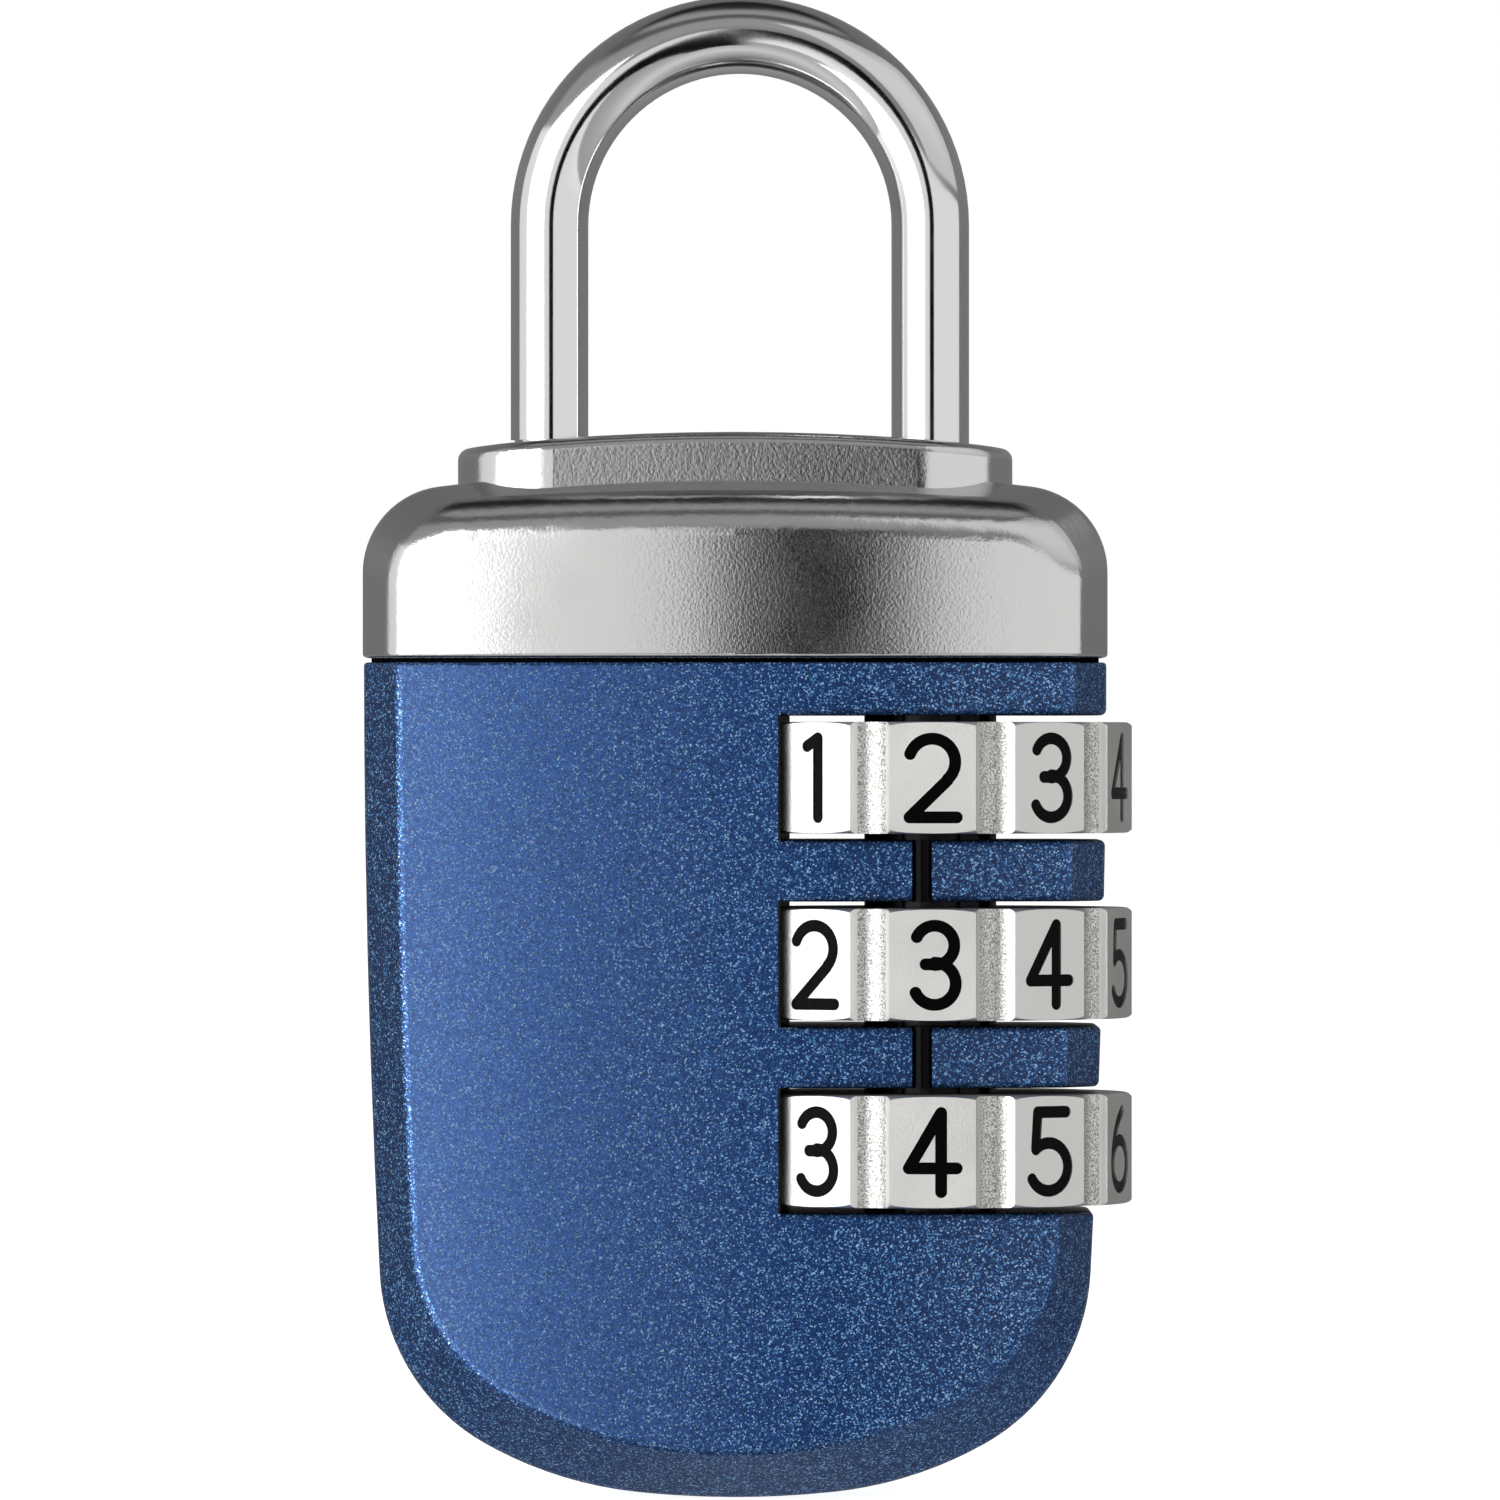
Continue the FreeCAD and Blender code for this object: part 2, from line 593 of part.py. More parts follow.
def make_reset_spring():
    """The helical spring that pushes the sleeves up into mesh with the dials."""
    coil_r = sleeve_r - running_clearance - spring_wire
    rise = spring_length - spring_wire - 2 * end_gap
    path = Part.Wire(Part.makeHelix(rise / spring_turns, rise, coil_r))
    start, outward = Vec(coil_r, 0, 0), RIGHT * (spring_wire / 2)
    along = Vec(0, 2 * math.pi * coil_r * spring_turns, rise)
    spin = FreeCAD.Rotation(along, 360 / wire_flats)
    corners = [outward]
    for _ in range(wire_flats):
        corners.append(spin.multVec(corners[-1]))
    section = Part.makePolygon([start + corner for corner in corners])
    sweep = Part.BRepOffsetAPI.MakePipeShell(path)
    sweep.setBiNormalMode(UP)
    sweep.add(section)
    sweep.build()
    sweep.makeSolid()
    coil = sweep.shape()
    coil.translate(Vec(axis_x, 0, bore_bottom + end_gap + spring_wire / 2))
    return coil


def make_detent_spring(z):
    """The leaf behind one dial, with a bent finger whose nose rests in the dial's flute."""
    face = (leaf_x, leaf_x + leaf_thickness)
    leaf = box(face, (leaf_root_y, leaf_back_y), (z - leaf_height / 2, z + leaf_height / 2))
    nose_x, inner_r = axis_x - flute_centre, nose_r - leaf_thickness
    height = (z - finger_height / 2, z + finger_height / 2)
    finger = box(face, (leaf_front_y, leaf_root_y), height)
    legs = box((leaf_x, nose_x), (-nose_r, nose_r), height)
    bump = rod(nose_r, *height, nose_x).cut(box((leaf_x - nose_r, nose_x), (-nose_r, nose_r), height))
    inside = [rod(inner_r, *height, nose_x), box((leaf_x, nose_x), (-inner_r, inner_r), height)]
    return leaf.fuse(finger.multiFuse([legs, bump]).cut(inside)).removeSplitter()


def build():
    """Every node's name and shape."""
    nodes = {
        "case": make_case(),
        "cap": make_cap(),
        "shackle": make_shackle(),
        "shackle_clip": make_shackle_clip(),
        "stop_washer": make_stop_washer(),
        "cap_pins": Part.makeCompound(cap_pins(pin_r, through=False)),
        "index_marks": Part.makeCompound(index_bars(index_sunk)),
        "spring_seat": make_spring_seat(),
        "reset_spring": make_reset_spring(),
    }
    for number, z in enumerate(dial_z):
        nodes[f"dial_{number + 1}"] = make_dial(number)
        nodes[f"dial_{number + 1}_numerals"] = make_numerals(number)
        nodes[f"sleeve_{number + 1}"] = make_sleeve(z)
        nodes[f"detent_spring_{number + 1}"] = make_detent_spring(z)
    return nodes


os.makedirs("parts", exist_ok=True)
for node_name, node_shape in build().items():
    node_shape.exportStep(os.path.join("parts", node_name + ".step"))
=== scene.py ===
import json
import math

import bmesh
import bpy
from mathutils import Matrix, Vector


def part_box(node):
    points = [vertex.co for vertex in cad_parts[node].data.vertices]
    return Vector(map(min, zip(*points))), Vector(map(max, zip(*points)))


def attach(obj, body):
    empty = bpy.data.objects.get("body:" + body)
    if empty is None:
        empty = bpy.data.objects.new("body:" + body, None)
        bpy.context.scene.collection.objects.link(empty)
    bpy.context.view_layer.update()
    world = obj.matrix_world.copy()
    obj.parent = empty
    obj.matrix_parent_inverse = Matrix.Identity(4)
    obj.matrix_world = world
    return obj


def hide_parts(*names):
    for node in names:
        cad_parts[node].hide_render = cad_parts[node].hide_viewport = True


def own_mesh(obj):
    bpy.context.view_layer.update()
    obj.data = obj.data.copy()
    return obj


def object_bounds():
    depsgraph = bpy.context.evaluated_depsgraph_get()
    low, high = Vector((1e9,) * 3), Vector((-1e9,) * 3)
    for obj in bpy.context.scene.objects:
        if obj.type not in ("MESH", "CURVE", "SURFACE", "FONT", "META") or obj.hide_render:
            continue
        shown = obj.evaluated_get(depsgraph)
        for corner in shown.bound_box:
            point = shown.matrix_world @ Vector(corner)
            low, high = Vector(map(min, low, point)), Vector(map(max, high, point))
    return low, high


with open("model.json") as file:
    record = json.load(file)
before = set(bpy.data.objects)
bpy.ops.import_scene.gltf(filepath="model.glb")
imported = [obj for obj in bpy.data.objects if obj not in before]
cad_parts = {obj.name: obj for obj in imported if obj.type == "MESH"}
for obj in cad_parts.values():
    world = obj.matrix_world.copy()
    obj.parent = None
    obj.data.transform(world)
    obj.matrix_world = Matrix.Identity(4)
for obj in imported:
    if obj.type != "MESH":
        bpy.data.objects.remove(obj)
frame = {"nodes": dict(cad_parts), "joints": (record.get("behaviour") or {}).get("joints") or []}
cad_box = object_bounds()
nodes = frame["nodes"]

# ---- Case: a zinc die casting, a flat U with bevelled edges and three slots for the dials.
# It is sprayed with metallic blue stoving lacquer, whose flakes glitter under a satin clear coat.
# The walls of the dial slots are coloured near black: painted shade where the slots lie in shadow.
MM = 0.001


def linear(hex_colour):
    """An sRGB hex colour as linear RGBA."""
    channels = [int(hex_colour[i:i + 2], 16) / 255 for i in (1, 3, 5)]
    return [c / 12.92 if c <= 0.04045 else ((c + 0.055) / 1.055) ** 2.4 for c in channels] + [1.0]


def add(material, kind, settings=None, links=None):
    """Adds one node to a material or a world, with its settings, socket values and links."""
    tree = material.node_tree
    node = tree.nodes.new("ShaderNode" + kind)
    for name, value in (settings or {}).items():
        if isinstance(name, str) and name in node.bl_rna.properties:
            setattr(node, name, value)
        else:
            node.inputs[name].default_value = value
    for name, source in (links or {}).items():
        tree.links.new(source, node.inputs[name])
    return node


def new_finish(name):
    """An empty node material."""
    material = bpy.data.materials.new(name)
    material.use_nodes = True
    material.node_tree.nodes.clear()
    return material


def paint_with(material, *names):
    """Gives CAD nodes this material alone."""
    for name in names:
        nodes[name].data.materials.clear()
        nodes[name].data.materials.append(material)


def recolour(material, shader, mask, plain, masked):
    """Replaces a finish's colour where a mask is 1. The masked colour is a hex value or a socket."""
    fixed = {"Color2": linear(masked)} if isinstance(masked, str) else {}
    linked = {} if isinstance(masked, str) else {"Color2": masked}
    mixed = add(material, "MixRGB", fixed, {"Fac": mask, "Color1": plain, **linked})
    material.node_tree.links.new(mixed.outputs["Color"], shader.inputs["Base Color"])


def flake_lacquer(name, deep, mid, bright, brightest):
    """Metallic stoving lacquer, aluminium flakes in tinted blue under clear coat.

    Returns the material, and the shader, place and colour that a mask needs.
    """
    lacquer = new_finish(name)
    # Real flakes are about 0.02 mm across, and are drawn coarser so that they show.
    flake, mottle, peel = 0.058 * MM, 2.5 * MM, 0.9 * MM
    flake_lean, peel_depth = 0.34, 0.01 * MM
    place = add(lacquer, "TexCoord").outputs["Object"]
    flakes = add(lacquer, "TexVoronoi", {"Scale": 1 / flake}, {"Vector": place})
    pick = add(lacquer, "SeparateColor", {}, {"Color": flakes.outputs["Color"]})
    tint = add(lacquer, "ValToRGB", {}, {"Fac": pick.outputs["Red"]})
    stops = tint.color_ramp.elements
    stops.remove(stops[-1])
    stops[0].position, stops[0].color = 0.0, linear(deep)
    for share, colour in ((0.35, mid), (0.72, mid), (0.9, bright), (1.0, brightest)):
        stops.new(share).color = linear(colour)
    cloud = add(lacquer, "TexNoise", {"Scale": 1 / mottle, "Detail": 3.0}, {"Vector": place})
    drift = add(lacquer, "MapRange", {"To Min": 0.94, "To Max": 1.06}, {"Value": cloud.outputs["Fac"]})
    shade = add(lacquer, "HueSaturation", {},
                {"Color": tint.outputs["Color"], "Value": drift.outputs["Result"]})
    # Each flake leans its own way, so that each catches a different light.
    tilt = add(lacquer, "VectorMath", {"operation": "SUBTRACT", 1: (0.5, 0.5, 0.5)},
               {0: flakes.outputs["Color"]})
    lean = add(lacquer, "VectorMath", {"operation": "SCALE", "Scale": flake_lean},
               {0: tilt.outputs["Vector"]})
    facing = add(lacquer, "NewGeometry").outputs["Normal"]
    glint = add(lacquer, "VectorMath", {"operation": "ADD"}, {0: facing, 1: lean.outputs["Vector"]})
    normal = add(lacquer, "VectorMath", {"operation": "NORMALIZE"}, {0: glint.outputs["Vector"]})
    waves = add(lacquer, "TexNoise", {"Scale": 1 / peel, "Detail": 2.0}, {"Vector": place})
    skin = add(lacquer, "Bump", {"Strength": 0.25, "Distance": peel_depth},
               {"Height": waves.outputs["Fac"]})
    gloss = add(lacquer, "MapRange", {"To Min": 0.18, "To Max": 0.36}, {"Value": pick.outputs["Green"]})
    shader = add(lacquer, "BsdfPrincipled",
                 {"Metallic": 0.8, "IOR": 1.5,
                  "Coat Weight": 0.6, "Coat Roughness": 0.24, "Coat IOR": 1.5},
                 {"Base Color": shade.outputs["Color"], "Roughness": gloss.outputs["Result"],
                  "Normal": normal.outputs["Vector"], "Coat Normal": skin.outputs["Normal"]})
    add(lacquer, "OutputMaterial", {}, {"Surface": shader.outputs["BSDF"]})
    return lacquer, shader, place, shade.outputs["Color"]


blue_flakes = ("#042254", "#0a3c76", "#5594d2", "#a2caef")
case_lacquer, case_shader, case_place, case_colour = flake_lacquer(
    "metallic_blue_stoving_lacquer", *blue_flakes)
paint_with(case_lacquer, "case")

# A point is in a slot when it is near the dials' axis and near the level of a dial.
# Painted shade: the near-black colour that the slot walls take in place of the lacquer.
slot_shadow = "#07090d"
side_allowance, end_allowance = 0.45 * MM, 0.29 * MM
dial_places = sorted((Vector(j["pos_m"]) for j in frame["joints"] if j["name"].endswith("_spin")),
                     key=lambda spot: -spot.z)
dial_axis, dial_pitch = dial_places[0], dial_places[0].z - dial_places[1].z
dial_low, dial_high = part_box("dial_1")
dial_radius = (dial_high.x - dial_low.x) / 2
slot_radius = dial_radius + side_allowance
slot_half = (dial_high.z - dial_low.z) / 2 + end_allowance


def distance_from_dial_axis(material, place):
    """The level distance of each point from the axis that the dials turn on."""
    level = add(material, "VectorMath", {"operation": "MULTIPLY", 1: (1.0, 1.0, 0.0)}, {0: place})
    return add(material, "VectorMath", {"operation": "DISTANCE", 1: (dial_axis.x, dial_axis.y, 0.0)},
               {0: level.outputs["Vector"]}).outputs["Value"]


inside = add(case_lacquer, "Math", {"operation": "LESS_THAN", 1: slot_radius},
             {0: distance_from_dial_axis(case_lacquer, case_place)})
split = add(case_lacquer, "SeparateXYZ", {}, {"Vector": case_place})
drop = add(case_lacquer, "Math", {"operation": "SUBTRACT", 1: dial_axis.z}, {0: split.outputs["Z"]})
nearest = add(case_lacquer, "Math", {"operation": "PINGPONG", 1: dial_pitch / 2},
              {0: drop.outputs["Value"]})
level_with_dial = add(case_lacquer, "Math", {"operation": "LESS_THAN", 1: slot_half},
                      {0: nearest.outputs["Value"]})
above_lowest = add(case_lacquer, "Math", {"operation": "GREATER_THAN", 1: dial_places[-1].z - slot_half},
                   {0: split.outputs["Z"]})
slot = add(case_lacquer, "Math", {"operation": "MULTIPLY"},
           {0: inside.outputs["Value"], 1: level_with_dial.outputs["Value"]})
# Painted shade: points in a slot, down to the lowest slot's floor, take the near-black colour.
painted_slot_shade = add(case_lacquer, "Math", {"operation": "MULTIPLY"},
                {0: slot.outputs["Value"], 1: above_lowest.outputs["Value"]})
recolour(case_lacquer, case_shader, painted_slot_shade.outputs["Value"], case_colour, slot_shadow)

# ---- Index marks: black enamel run into the two upright grooves between the dials.
# It dries glossy and slightly sunk, with a soft ripple that breaks up its highlights.


def black_enamel(name, rough):
    """Glossy black enamel that has settled in an engraving."""
    enamel = new_finish(name)
    ripple, dust, ripple_depth = 0.5 * MM, 0.15 * MM, 0.02 * MM
    place = add(enamel, "TexCoord").outputs["Object"]
    pool = add(enamel, "TexNoise", {"Scale": 1 / ripple, "Detail": 2.0}, {"Vector": place})
    skin = add(enamel, "Bump", {"Strength": 0.4, "Distance": ripple_depth},
               {"Height": pool.outputs["Fac"]})
    specks = add(enamel, "TexNoise", {"Scale": 1 / dust, "Detail": 3.0}, {"Vector": place})
    dull = add(enamel, "MapRange", {"To Min": rough * 0.7, "To Max": rough * 1.6},
               {"Value": specks.outputs["Fac"]})
    shader = add(enamel, "BsdfPrincipled",
                 {"Base Color": linear("#040405"), "IOR": 1.52, "Specular IOR Level": 0.05},
                 {"Roughness": dull.outputs["Result"], "Normal": skin.outputs["Normal"]})
    add(enamel, "OutputMaterial", {}, {"Surface": shader.outputs["BSDF"]})
    return enamel


paint_with(black_enamel("black_index_enamel", rough=0.16), "index_marks")

# ---- Cap and collar: one zinc casting, barrel plated in satin nickel.
# The plating keeps the fine grain of the blasted casting, which sparkles where light turns.
# The sunk seam below the cap is coloured dark: painted shade.


def plated_metal(name, colour, grain, depth, rough, spread):
    """Plated metal with a fine cast grain: a bump of that grain size, and gloss that varies with it.

    Returns the material, and the shader, place and colour that a mask needs.
    """
    plate = new_finish(name)
    cloud = 3.0 * MM
    # The real grain is finer than the one given here, which is coarser so that it shows.
    place = add(plate, "TexCoord").outputs["Object"]
    specks = add(plate, "TexNoise", {"Scale": 1 / grain, "Detail": 3.0, "Roughness": 0.6},
                 {"Vector": place})
    skin = add(plate, "Bump", {"Strength": 1.0, "Distance": depth}, {"Height": specks.outputs["Fac"]})
    drift = add(plate, "TexNoise", {"Scale": 1 / cloud, "Detail": 2.0}, {"Vector": place})
    mix = add(plate, "Math", {"operation": "MULTIPLY"},
              {0: specks.outputs["Fac"], 1: drift.outputs["Fac"]})
    dull = add(plate, "MapRange", {"From Max": 0.5, "To Min": rough - spread, "To Max": rough + spread},
               {"Value": mix.outputs["Value"]})
    tone = add(plate, "MapRange", {"To Min": 0.93, "To Max": 1.04}, {"Value": drift.outputs["Fac"]})
    shade = add(plate, "HueSaturation", {"Color": linear(colour)}, {"Value": tone.outputs["Result"]})
    shader = add(plate, "BsdfPrincipled", {"Metallic": 1.0},
                 {"Base Color": shade.outputs["Color"], "Roughness": dull.outputs["Result"],
                  "Normal": skin.outputs["Normal"]})
    add(plate, "OutputMaterial", {}, {"Surface": shader.outputs["BSDF"]})
    return plate, shader, place, shade.outputs["Color"]


nickel, nickel_shader, nickel_place, nickel_colour = plated_metal(
    "satin_nickel_plate", "#dcdcdb", grain=0.12 * MM, depth=0.005 * MM, rough=0.14, spread=0.04)
paint_with(nickel, "cap")

# Painted shade: the cap's ledge below the seam top is coloured dark.
seam_height, painted_seam_shade = 0.19 * MM, "#0b0d12"
seam_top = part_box("case")[1].z + seam_height
nickel_split = add(nickel, "SeparateXYZ", {}, {"Vector": nickel_place})
seam_shade_mask = add(nickel, "Math", {"operation": "LESS_THAN", 1: seam_top}, {0: nickel_split.outputs["Z"]})
recolour(nickel, nickel_shader, seam_shade_mask.outputs["Value"], nickel_colour, painted_seam_shade)

# ---- Cap pins: two steel pins pressed through the back of the case into the cap's plug.
# They were driven before spraying, so they carry the case's own lacquer.
paint_with(flake_lacquer("metallic_blue_lacquer_on_pins", *blue_flakes)[0], "cap_pins")

# ---- Shackle: 3.15 mm steel wire, bent and chrome plated over a bright drawn surface.
# It mirrors its surroundings, with only faint drawing lines along the wire.


def drawn_chrome(name, colour, rough):
    """Bright chrome on drawn wire: a near mirror with faint lines along the wire."""
    chrome = new_finish(name)
    # Real drawing lines are a few hundredths of a millimetre apart, and are drawn coarser here.
    line, reach, cloud, line_depth = 0.12 * MM, 6.0 * MM, 1.5 * MM, 0.0006 * MM
    place = add(chrome, "TexCoord").outputs["Object"]
    along = add(chrome, "Mapping", {"Scale": (1 / line, 1 / line, 1 / reach)}, {"Vector": place})
    lines = add(chrome, "TexNoise", {"Scale": 1.0, "Detail": 2.0}, {"Vector": along.outputs["Vector"]})
    wear = add(chrome, "TexNoise", {"Scale": 1 / cloud, "Detail": 4.0}, {"Vector": place})
    dull = add(chrome, "MapRange", {"To Min": rough * 0.6, "To Max": rough * 1.5},
               {"Value": wear.outputs["Fac"]})
    skin = add(chrome, "Bump", {"Strength": 0.6, "Distance": line_depth},
               {"Height": lines.outputs["Fac"]})
    shader = add(chrome, "BsdfPrincipled", {"Base Color": linear(colour), "Metallic": 1.0},
                 {"Roughness": dull.outputs["Result"], "Normal": skin.outputs["Normal"]})
    add(chrome, "OutputMaterial", {}, {"Surface": shader.outputs["BSDF"]})
    return chrome


paint_with(drawn_chrome("bright_chrome_on_drawn_wire", "#e2e2e3", rough=0.09), "shackle")

# ---- Shackle clip, stop washer and spring seat: hardened steel stampings, oil blackened.
# The oil leaves them a soft, even dark grey with a slightly rough grain.
stamped_steel = plated_metal("oil_blackened_steel", "#5c5b59", grain=0.2 * MM, depth=0.004 * MM,
                             rough=0.36, spread=0.08)[0]
paint_with(stamped_steel, "shackle_clip", "stop_washer", "spring_seat")

# ---- Dials: zinc castings in satin chrome, ten flat facets with a flute between each pair.
# The facets were polished after casting, so they shine evenly. The flutes keep the casting's grain,
# and their colour carries a coarse speckle that is darker on average than the facets.
dial_names = ["dial_1", "dial_2", "dial_3"]
chrome, chrome_shader, chrome_place, chrome_colour = plated_metal(
    "satin_chrome_plate", "#ecebe8", grain=0.09 * MM, depth=0.01 * MM, rough=0.44, spread=0.08)
paint_with(chrome, *dial_names)

facet_share, flute_speckle_grain = 0.972, 0.07 * MM
flute = add(chrome, "Math", {"operation": "LESS_THAN", 1: dial_radius * facet_share},
            {0: distance_from_dial_axis(chrome, chrome_place)})
# A coarse speckle that darkens the flutes' colour on average and lightens it in spots.
flute_speckle = add(chrome, "TexNoise", {"Scale": 1 / flute_speckle_grain, "Detail": 2.0}, {"Vector": chrome_place})
flute_speckle_tone = add(chrome, "MapRange", {"From Min": 0.35, "From Max": 0.65, "To Min": 0.3, "To Max": 1.15},
                {"Value": flute_speckle.outputs["Fac"]})
speckled_flute_colour = add(chrome, "HueSaturation", {}, {"Color": chrome_colour, "Value": flute_speckle_tone.outputs["Result"]})
recolour(chrome, chrome_shader, flute.outputs["Value"], chrome_colour, speckled_flute_colour.outputs["Color"])

# ---- Numerals: black paint wiped into the engraved digits of each dial.
# It dries glossy and slightly sunk, and a little duller than the index marks.
paint_with(black_enamel("black_numeral_paint", rough=0.2), *[name + "_numerals" for name in dial_names])

# ---- Sleeves: turned and broached clutch sleeves inside the dials, in oil-blackened steel.
# Their dark finish shows the fine rings of turning, and keeps the gaps round the dials dark.


def turned_steel(name, colour, rough):
    """Blackened steel with fine tool rings round the upright axis."""
    steel = new_finish(name)
    ring, reach, ring_depth = 0.1 * MM, 4.0 * MM, 0.003 * MM
    place = add(steel, "TexCoord").outputs["Object"]
    across = add(steel, "Mapping", {"Scale": (1 / reach, 1 / reach, 1 / ring)}, {"Vector": place})
    rings = add(steel, "TexNoise", {"Scale": 1.0, "Detail": 2.0}, {"Vector": across.outputs["Vector"]})
    dull = add(steel, "MapRange", {"To Min": rough * 0.7, "To Max": rough * 1.4},
               {"Value": rings.outputs["Fac"]})
    skin = add(steel, "Bump", {"Strength": 0.8, "Distance": ring_depth},
               {"Height": rings.outputs["Fac"]})
    shader = add(steel, "BsdfPrincipled", {"Base Color": linear(colour), "Metallic": 1.0},
                 {"Roughness": dull.outputs["Result"], "Normal": skin.outputs["Normal"]})
    add(steel, "OutputMaterial", {}, {"Surface": shader.outputs["BSDF"]})
    return steel


paint_with(turned_steel("oil_blackened_turned_steel", "#3a393a", rough=0.35),
           "sleeve_1", "sleeve_2", "sleeve_3")

# ---- Detent springs: a leaf of bright spring steel behind each dial, clipped into the case.
# Its bent finger drops into the dial's flutes. The rolled strip is bright, but not a mirror.
spring_steel = drawn_chrome("bright_spring_steel", "#b9b9bb", rough=0.22)
paint_with(spring_steel, "detent_spring_1", "detent_spring_2", "detent_spring_3")

# ---- Reset spring: four turns of round bright steel wire under the spring seat.
# It stands on the floor of its bore. The real spring is pressed shorter when the sleeves are pushed
# down, but this coil is drawn at one fixed length.
coil_turns, turn_steps, wire_radius, wire_flats = 4, 40, 0.25 * MM, 16
coil_low, coil_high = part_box("reset_spring")
coil_x, coil_y = (coil_low.x + coil_high.x) / 2, (coil_low.y + coil_high.y) / 2
coil_radius = (coil_high.y - coil_low.y) / 2 - wire_radius
coil_steps = coil_turns * turn_steps
step_rise = (coil_high.z - coil_low.z - 2 * wire_radius) / coil_steps
wire = bmesh.new()
bmesh.ops.create_circle(wire, cap_ends=True, segments=wire_flats, radius=wire_radius)
bmesh.ops.rotate(wire, verts=wire.verts, cent=(0, 0, 0), matrix=Matrix.Rotation(math.pi / 2, 3, "X"))
bmesh.ops.translate(wire, verts=wire.verts,
                    vec=(coil_x + coil_radius, coil_y, coil_low.z + wire_radius))
bmesh.ops.spin(wire, geom=wire.verts[:] + wire.edges[:] + wire.faces[:], cent=(coil_x, coil_y, 0),
               axis=(0, 0, 1), dvec=(0, 0, step_rise), angle=2 * math.pi * coil_turns, steps=coil_steps)
bmesh.ops.recalc_face_normals(wire, faces=wire.faces)
for face in wire.faces:
    face.smooth = len(face.verts) < wire_flats
coil = bpy.data.objects.new("reset_spring_coil", bpy.data.meshes.new("reset_spring_coil"))
wire.to_mesh(coil.data)
wire.free()
bpy.context.scene.collection.objects.link(coil)
coil.data.materials.append(spring_steel)
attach(coil, "case")
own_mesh(coil)
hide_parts("reset_spring")

# ---- Camera: square on to the digits and level with the middle of the lock.
# The lens is long, so the lock's outline shows almost without perspective.
lens_mm, sensor_mm = 343.0, 36.0
camera_distance, camera_right, camera_drop = 580 * MM, 0.6 * MM, 0.2 * MM
nearest_seen, farthest_seen = 0.01, 100.0
case_low, case_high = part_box("case")
middle = (Vector(cad_box[0]) + Vector(cad_box[1])) / 2
eye = bpy.data.objects.new("camera", bpy.data.cameras.new("camera"))
eye.data.lens, eye.data.sensor_width = lens_mm, sensor_mm
eye.data.clip_start, eye.data.clip_end = nearest_seen, farthest_seen
eye.location = ((case_low.x + case_high.x) / 2 + camera_right, -camera_distance, middle.z - camera_drop)
eye.rotation_euler = (math.pi / 2, 0, 0)
bpy.context.scene.collection.objects.link(eye)
bpy.context.scene.camera = eye

# ---- Studio: a plain white floor, large soft lights on the left and dimmer ones on the right.
# A black strip beside the camera gives the metal its dark edges.
floor_size, floor_drop, floor_glow = 6.0, 0.05 * MM, 0.9
light_distance, strip_distance = 0.7, 0.55


def matt(name, colour, emission=0.0):
    """A plain matt surface for the studio."""
    surface = new_finish(name)
    shader = add(surface, "BsdfPrincipled",
                 {"Base Color": linear(colour), "Roughness": 0.9, "Specular IOR Level": 0.0,
                  "Emission Color": linear(colour), "Emission Strength": emission})
    add(surface, "OutputMaterial", {}, {"Surface": shader.outputs["BSDF"]})
    return surface


def aim_at_lock(thing, azimuth, elevation, distance):
    """Puts a thing round the lock, facing it. Azimuth is in degrees from the front to the right."""
    a, e = math.radians(azimuth), math.radians(elevation)
    towards = Vector((math.sin(a) * math.cos(e), -math.cos(a) * math.cos(e), math.sin(e)))
    thing.location = middle + towards * distance
    thing.rotation_euler = towards.to_track_quat("Z", "Y").to_euler()


def card(name, azimuth, elevation, distance, width, height, material):
    """A flat card that only shows as a reflection."""
    bpy.ops.mesh.primitive_plane_add(size=1.0)
    panel = bpy.context.object
    panel.name = name
    aim_at_lock(panel, azimuth, elevation, distance)
    panel.scale = (width, height, 1.0)
    panel.data.materials.append(material)
    panel.visible_camera = False
    panel.visible_shadow = False
    panel.visible_diffuse = False


def softbox(name, azimuth, elevation, width, height, power):
    """A rectangular area light, sized in metres, with its power in watts."""
    lamp = bpy.data.objects.new(name, bpy.data.lights.new(name, "AREA"))
    lamp.data.shape = "RECTANGLE"
    lamp.data.size, lamp.data.size_y = width, height
    lamp.data.energy = power
    aim_at_lock(lamp, azimuth, elevation, light_distance)
    lamp.visible_camera = False
    bpy.context.scene.collection.objects.link(lamp)


bpy.ops.mesh.primitive_plane_add(size=floor_size, location=(0, 0, cad_box[0][2] - floor_drop))
floor = bpy.context.object
floor.name = "floor"
floor.data.materials.append(matt("white_floor", "#ffffff", floor_glow))
floor.visible_glossy = False

softbox("far_left_softbox", azimuth=-85, elevation=0, width=0.375, height=0.8, power=0.61)
softbox("left_softbox", azimuth=-43.5, elevation=0, width=0.698, height=0.8, power=5.2)
softbox("front_left_softbox", azimuth=-9.4, elevation=0, width=0.187, height=0.5, power=0.182)
softbox("right_softbox", azimuth=53, elevation=0, width=1.26, height=0.3, power=0.76)
softbox("high_right_softbox", azimuth=62, elevation=36, width=1.1, height=0.55, power=0.8)
card("front_strip", azimuth=5.1, elevation=-6, distance=strip_distance, width=0.106, height=0.5,
     material=matt("black_card", "#050505"))

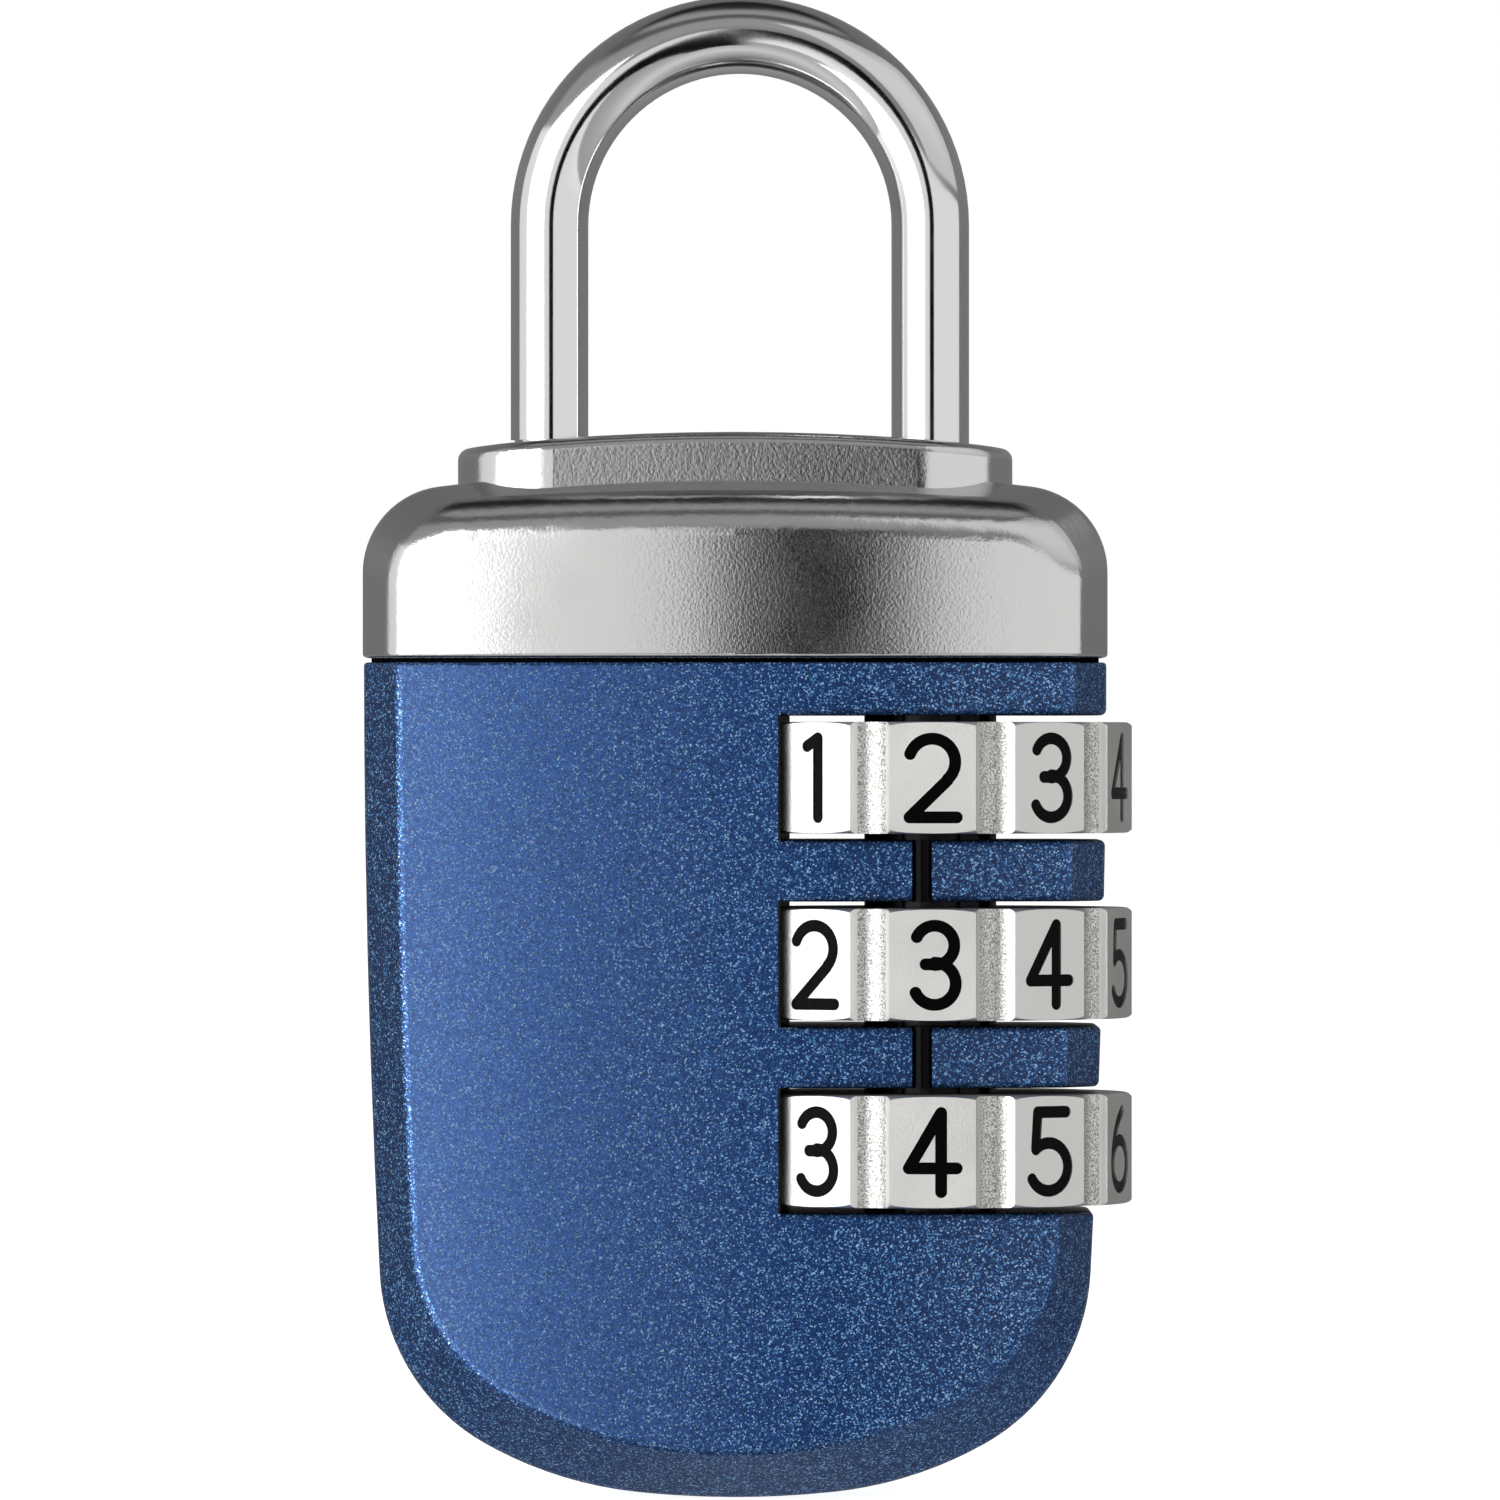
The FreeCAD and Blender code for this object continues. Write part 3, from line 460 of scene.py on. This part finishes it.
# The room is a grey that changes with height, given as the sine of the elevation and the grey level.
# It is lighter in front than behind, and the camera itself sees plain white.
front_levels = ((-1.0, 0.1), (-0.9, 0.4), (-0.72, 0.75), (-0.5, 0.5), (-0.25, 0.4), (-0.1, 0.24),
                (0.3, 0.26), (0.5, 0.36), (0.72, 0.34), (0.8, 0.12), (0.86, 0.12), (0.92, 0.36),
                (0.97, 0.3), (1.0, 0.05))
rear_levels = ((-1.0, 0.1), (-0.95, 0.36), (-0.6, 0.26), (-0.1, 0.2), (0.25, 0.24), (0.5, 0.2),
               (0.85, 0.17), (0.93, 0.02))
side_blend = 0.12
world = bpy.data.worlds.new("studio")
world.use_nodes = True
world.node_tree.nodes.clear()
direction = add(world, "TexCoord").outputs["Generated"]
parts = add(world, "SeparateXYZ", {}, {"Vector": direction})
climb = add(world, "MapRange", {"From Min": -1.0}, {"Value": parts.outputs["Z"]})
front = add(world, "ValToRGB", {}, {"Fac": climb.outputs["Result"]})
rear = add(world, "ValToRGB", {}, {"Fac": climb.outputs["Result"]})
for ramp, levels in ((front.color_ramp, front_levels), (rear.color_ramp, rear_levels)):
    ramp.elements.remove(ramp.elements[-1])
    ramp.elements[0].color = (levels[0][1], levels[0][1], levels[0][1], 1.0)
    for sine, level in levels[1:]:
        ramp.elements.new((sine + 1) / 2).color = (level, level, level, 1.0)
side = add(world, "MapRange", {"From Min": -side_blend, "From Max": side_blend},
           {"Value": parts.outputs["Y"]})
room = add(world, "MixRGB", {}, {"Fac": side.outputs["Result"], "Color1": front.outputs["Color"],
                                 "Color2": rear.outputs["Color"]})
around = add(world, "Background", {}, {"Color": room.outputs["Color"]})
behind = add(world, "Background", {"Color": (1.0, 1.0, 1.0, 1.0)})
seen = add(world, "LightPath").outputs["Is Camera Ray"]
both = add(world, "MixShader", {},
           {0: seen, 1: around.outputs["Background"], 2: behind.outputs["Background"]})
add(world, "OutputWorld", {}, {"Surface": both.outputs["Shader"]})
bpy.context.scene.world = world
bpy.context.scene.view_settings.view_transform = "Standard"
